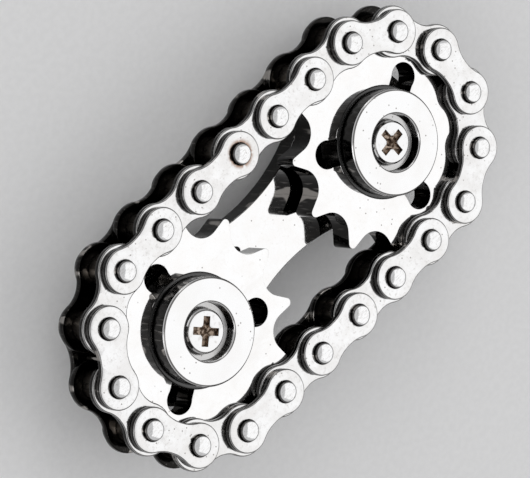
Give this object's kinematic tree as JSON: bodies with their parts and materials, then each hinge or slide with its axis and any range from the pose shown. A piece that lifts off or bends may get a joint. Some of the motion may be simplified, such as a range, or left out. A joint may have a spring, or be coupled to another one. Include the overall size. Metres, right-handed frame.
{
  "type": "roller chain spinner",
  "caption": "Closed chain loop running round toothed sprockets on ball bearings, joined by a waisted bridge plate, with round caps to hold it by.",
  "frame": {"origin": "middle of the footprint, in the plane of the rear cap faces that it lies on", "axes": "+X from hub A to hub B along the loop, +Y across the loop, +Z along the hub axes towards the front"},
  "size_m": [0.0616, 0.0298, 0.0121],
  "materials": {
    "plate_steel": "bright nickel plate over steel with a fine grain",
    "inner_plate_steel": "bright nickel plate over steel",
    "sprocket_steel": "bright nickel plate over steel with a fine grain",
    "bridge_steel": "mirror polished steel",
    "cap_steel": "turned and polished steel",
    "screw_steel": "bright steel, browned in the cross recess",
    "bearing_steel": "ground bearing steel",
    "pin_steel": "bright steel",
    "bush_steel": "drawn steel",
    "sleeve_steel": "turned steel"
  },
  "bodies": {
    "frame": {"bridge_plate": "bridge_steel", "bridge_bearing_outer_a": "bearing_steel", "bridge_bearing_outer_b": "bearing_steel"},
    "hub_a": {"front_cap_a": "cap_steel", "rear_cap_a": "cap_steel", "axle_sleeve_a": "sleeve_steel", "front_screw_a": "screw_steel", "rear_screw_a": "screw_steel", "sprocket_bearing_inner_a": "bearing_steel", "sprocket_bearing_balls_a": "bearing_steel", "bridge_bearing_inner_a": "bearing_steel", "bridge_bearing_balls_a": "bearing_steel"},
    "hub_b": {"front_cap_b": "cap_steel", "rear_cap_b": "cap_steel", "axle_sleeve_b": "sleeve_steel", "front_screw_b": "screw_steel", "rear_screw_b": "screw_steel", "sprocket_bearing_inner_b": "bearing_steel", "sprocket_bearing_balls_b": "bearing_steel", "bridge_bearing_inner_b": "bearing_steel", "bridge_bearing_balls_b": "bearing_steel"},
    "sprocket_a": {"sprocket_a": "sprocket_steel", "sprocket_bearing_outer_a": "bearing_steel", "outer_link_01": "plate_steel", "inner_link_02": "inner_plate_steel", "outer_link_03": "plate_steel", "inner_link_04": "inner_plate_steel", "outer_link_05": "plate_steel", "inner_link_06": "inner_plate_steel", "pins_on_sprocket_a": "pin_steel", "bushes_on_sprocket_a": "bush_steel"},
    "sprocket_b": {"sprocket_b": "sprocket_steel", "sprocket_bearing_outer_b": "bearing_steel", "inner_link_12": "inner_plate_steel", "outer_link_13": "plate_steel", "inner_link_14": "inner_plate_steel", "outer_link_15": "plate_steel", "inner_link_16": "inner_plate_steel", "outer_link_17": "plate_steel", "pins_on_sprocket_b": "pin_steel", "bushes_on_sprocket_b": "bush_steel"},
    "bottom_run": {"outer_link_07": "plate_steel", "inner_link_08": "inner_plate_steel", "outer_link_09": "plate_steel", "inner_link_10": "inner_plate_steel", "outer_link_11": "plate_steel", "pins_on_bottom_run": "pin_steel", "bushes_on_bottom_run": "bush_steel"},
    "top_run": {"inner_link_18": "inner_plate_steel", "outer_link_19": "plate_steel", "inner_link_20": "inner_plate_steel", "outer_link_21": "plate_steel", "inner_link_22": "inner_plate_steel", "pins_on_top_run": "pin_steel", "bushes_on_top_run": "bush_steel"}
  },
  "joints": [
    {"name": "hub_a_turn", "type": "hinge", "parent": "frame", "child": "hub_a", "pos_m": [-0.01588, 0, 0.00824], "axis": [0, 0, 1], "continuous": true},
    {"name": "hub_b_turn", "type": "hinge", "parent": "frame", "child": "hub_b", "pos_m": [0.01588, 0, 0.00824], "axis": [0, 0, 1], "continuous": true},
    {"name": "sprocket_a_turn", "type": "hinge", "parent": "frame", "child": "sprocket_a", "pos_m": [-0.01588, 0, 0.00824], "axis": [0, 0, 1], "range_deg": [-2.6, 27.4]},
    {"name": "sprocket_b_turn", "type": "hinge", "parent": "frame", "child": "sprocket_b", "pos_m": [0.01588, 0, 0.00824], "axis": [0, 0, 1], "range_deg": [-2.6, 27.4]},
    {"name": "top_run_pivot", "type": "hinge", "parent": "sprocket_a", "child": "top_run", "pos_m": [-0.01324, 0.01198, 0.00824], "axis": [0, 0, 1], "range_deg": [-27.4, 2.6]},
    {"name": "bottom_run_pivot", "type": "hinge", "parent": "sprocket_a", "child": "bottom_run", "pos_m": [-0.01851, -0.01198, 0.00824], "axis": [0, 0, 1], "range_deg": [-27.4, 2.6]}
  ],
  "couplings": [
    {"joint": "sprocket_b_turn", "follows": "sprocket_a_turn", "ratio": 1},
    {"joint": "top_run_pivot", "follows": "sprocket_a_turn", "ratio": -1},
    {"joint": "bottom_run_pivot", "follows": "sprocket_a_turn", "ratio": -1}
  ]
}
